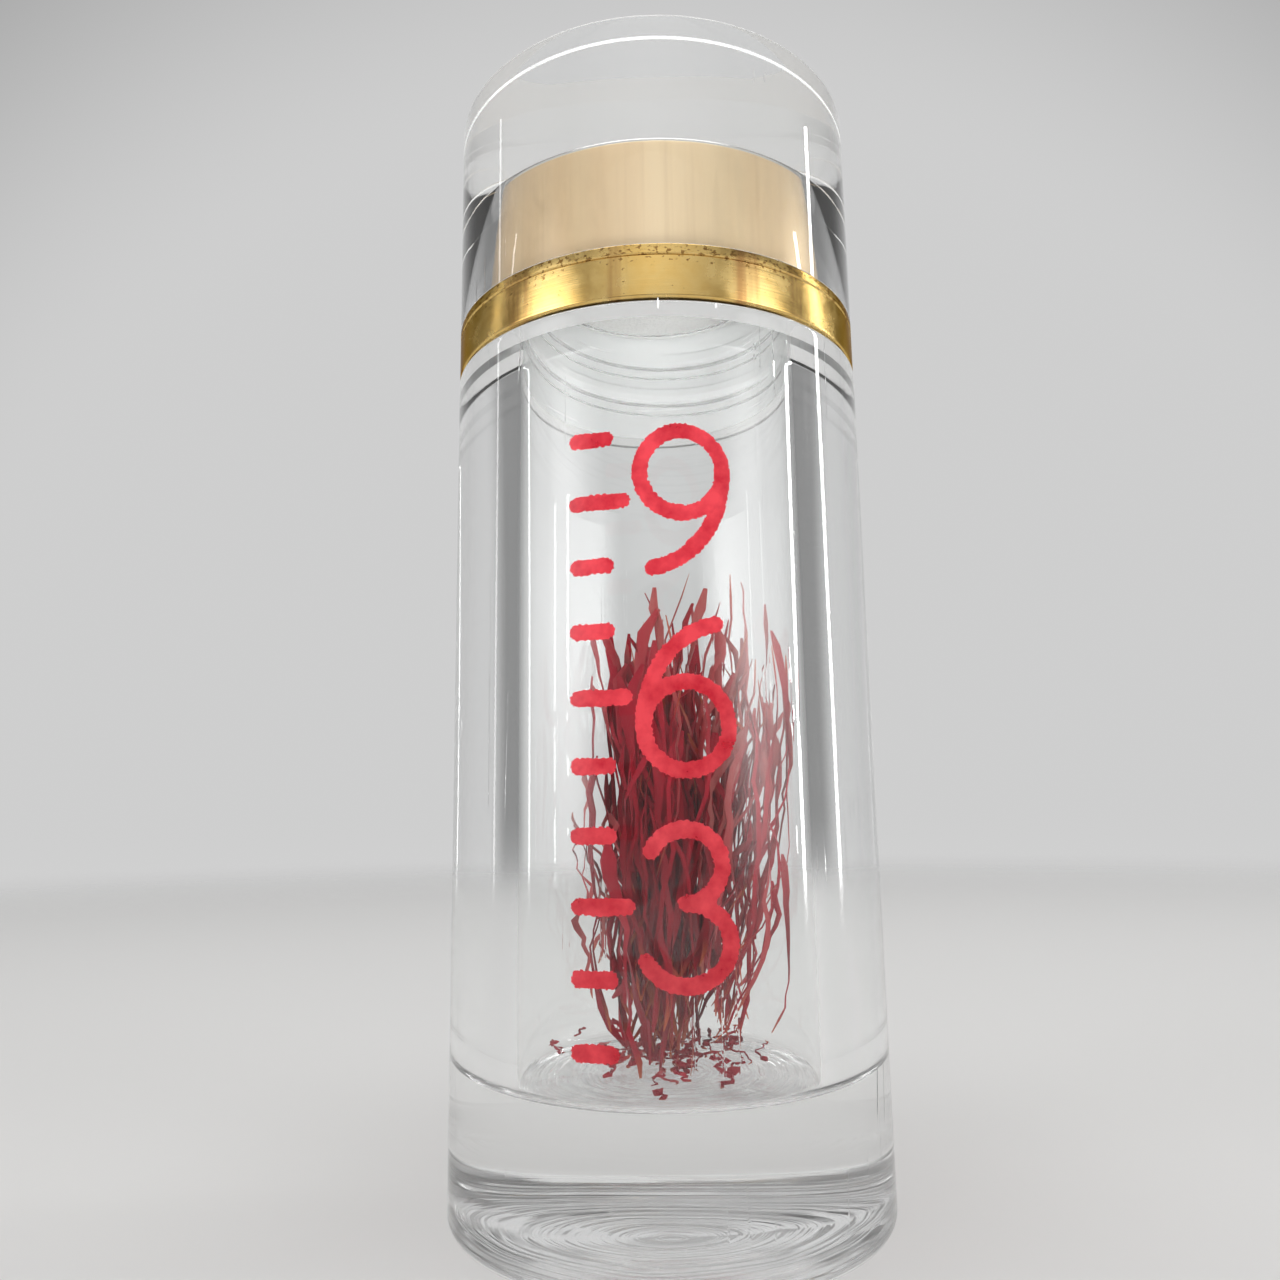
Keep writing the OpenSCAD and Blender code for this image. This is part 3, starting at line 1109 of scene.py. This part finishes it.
# place and size in millimetres, how bright the middle of the lamp's face is, and the half angle of its cone
# in degrees, which softens the lamp's edges; lowFront lights the inside of the cap and is not mirrored
lamps = {
    "leftSoft": {"place": (-410, -245, 140), "size": (420, 420), "glow": 5.5, "cone": 23},
    "rightSoft": {"place": (375, -235, 140), "size": (420, 420), "glow": 4.8, "cone": 21},
    "frontHigh": {"place": (0, -400, 290), "size": (700, 320), "glow": 0.8, "cone": 38},
    "lowFront": {"place": (0, -84, 4), "size": (150, 32), "glow": 14.0, "cone": 34, "mirrored": False},
    "rightStrip": {"place": (480, 84, 60), "size": (24, 700), "glow": 14.0, "cone": openCone},
    "leftStrip": {"place": (-470, 60, 60), "size": (12, 700), "glow": 4.0, "cone": openCone},
    "overhead": {"place": (0, -60, 560), "size": (420, 420), "glow": 2.5, "cone": openCone},
}


def fadingFloor():
    # pale matte paper that clears towards its rim, so that no line shows where it meets the background
    material, tree, shader = newMaterial("studioFloor", studio["floorColour"], studio["floorFinish"])
    away = vectorMaths(tree, "LENGTH", "Value", objectPlace(tree))
    dress(tree, shader, {"Alpha": spread(tree, away, studio["floorFade"], (1, 0), "SMOOTHERSTEP")})
    return material


def studioWorld():
    # bright beyond the vial and below the horizon, dim elsewhere, so that the clear walls have dark edges
    world = bpy.data.worlds.new("studioWorld")
    bpy.context.scene.world = world
    world.use_nodes = True
    tree = world.node_tree
    direction = node(tree, "TexCoord", {}).outputs["Generated"]
    beyond = (studio["aside"], studio["behind"])
    above = spread(tree, part(tree, direction, "Y"), studio["turnOver"], beyond, "SMOOTHSTEP")
    down = maths(tree, "MULTIPLY", part(tree, direction, "Z"), -1)
    lower = spread(tree, down, studio["sink"], easing="SMOOTHSTEP")
    both = node(tree, "Mix", {"Factor": lower, "A": above, "B": studio["below"]})
    dress(tree, tree.nodes["Background"], {"Color": both.outputs["Result"]})


def makeLamp(name, lamp):
    data = bpy.data.lights.new(name, "AREA")
    data.shape = "RECTANGLE"
    data.size, data.size_y = (v * mm for v in lamp["size"])
    data.energy = lamp["glow"] * math.pi * data.size * data.size_y
    if lamp["cone"] < openCone:
        half = math.radians(lamp["cone"])
        data.spread = 2 * half
        data.energy *= 1 - half / math.tan(half)  # a cone concentrates the light
    light = newObject(name, data)
    light.location = Vector(lamp["place"]) * mm
    aim = Vector((0, 0, capZ)) - light.location
    light.rotation_euler = aim.to_track_quat("-Z", "Y").to_euler()
    light.visible_camera = False
    light.visible_glossy = light.visible_transmission = lamp.get("mirrored", True)


def makeStudio():
    mesh = bpy.data.meshes.new("studioFloor")
    a = np.linspace(0, 2 * np.pi, studio["floorSides"], endpoint=False)
    rim = np.stack([np.cos(a), np.sin(a), 0 * a], 1) * studio["floorRadius"]
    rim[:, 2] = studio["floorZ"]
    mesh.from_pydata(rim.tolist(), [], [list(range(len(a)))])
    mesh.materials.append(fadingFloor())
    floor = newObject("studioFloor", mesh)
    studioWorld()
    for name, lamp in lamps.items():
        makeLamp(name, lamp)
    bpy.context.scene.view_settings.view_transform = "Standard"


makeStudio()
print("studio set")


ringGap = 0.02 * mm  # vertices this near a height belong to its ring
wallGap = 0.1 * mm  # and this near the body's radius to its wall
heightDecimals = 6  # a wall's rings are told apart by their rounded heights
sameHeight = 1e-6


def arcTop(piece, z):
    # the highest image row of the ring of a turned piece's vertices at height z
    places = readVectors(piece.data.vertices, "co")
    return toImage(places[np.abs(places[:, 2] - z) < ringGap])[:, 1].min()


def outlineAt(piece, y, side):
    # where a turned piece's left (-1) or right (1) outline crosses image row y: straight lines that join
    # the outermost vertex of each ring on its wall
    places = readVectors(piece.data.vertices, "co")
    wall = places[np.hypot(places[:, 0], places[:, 1]) > outerRadius - wallGap]
    edge = []
    for z in np.unique(np.round(wall[:, 2], heightDecimals)):
        seen = toImage(wall[np.abs(wall[:, 2] - z) < sameHeight])
        edge.append(seen[np.argmax(seen[:, 0] * side)])
    edge = np.array(sorted(edge, key=lambda place: place[1]))
    return np.interp(y, edge[:, 1], edge[:, 0])


def writePoints():
    arcs = {
        "capTopArc": (clearCrown, capTop - cap["edge"]),
        "seamArc": (clearCrown, plateZ),
        "collarUpperArc": (goldCollar, collarTop - collar["edgeRound"]),
        "collarLowerArc": (goldCollar, capZ + collar["edgeRound"]),
    }
    outlines = {
        "capLeft": (clearCrown, -1), "capRight": (clearCrown, 1),
        "bodyUpperLeft": (clearVial, -1), "bodyUpperRight": (clearVial, 1),
        "bodyMiddleLeft": (clearVial, -1), "bodyMiddleRight": (clearVial, 1),
        "bodyLowerLeft": (clearVial, -1), "bodyLowerRight": (clearVial, 1),
    }
    for name, (piece, z) in arcs.items():
        arcTop(piece, z) - imagePoints[name][1]
    for name, (piece, side) in outlines.items():
        outlineAt(piece, imagePoints[name][1], side) - imagePoints[name][0]
    for name, piece in nickPieces.items():
        seen = toImage([v.co for v in piece.data.vertices])
    seen = toImage([v.co for v in clearVial.data.vertices])
    seen = seen[seen[:, 1] < camera["photoSide"], 0]


writePoints()
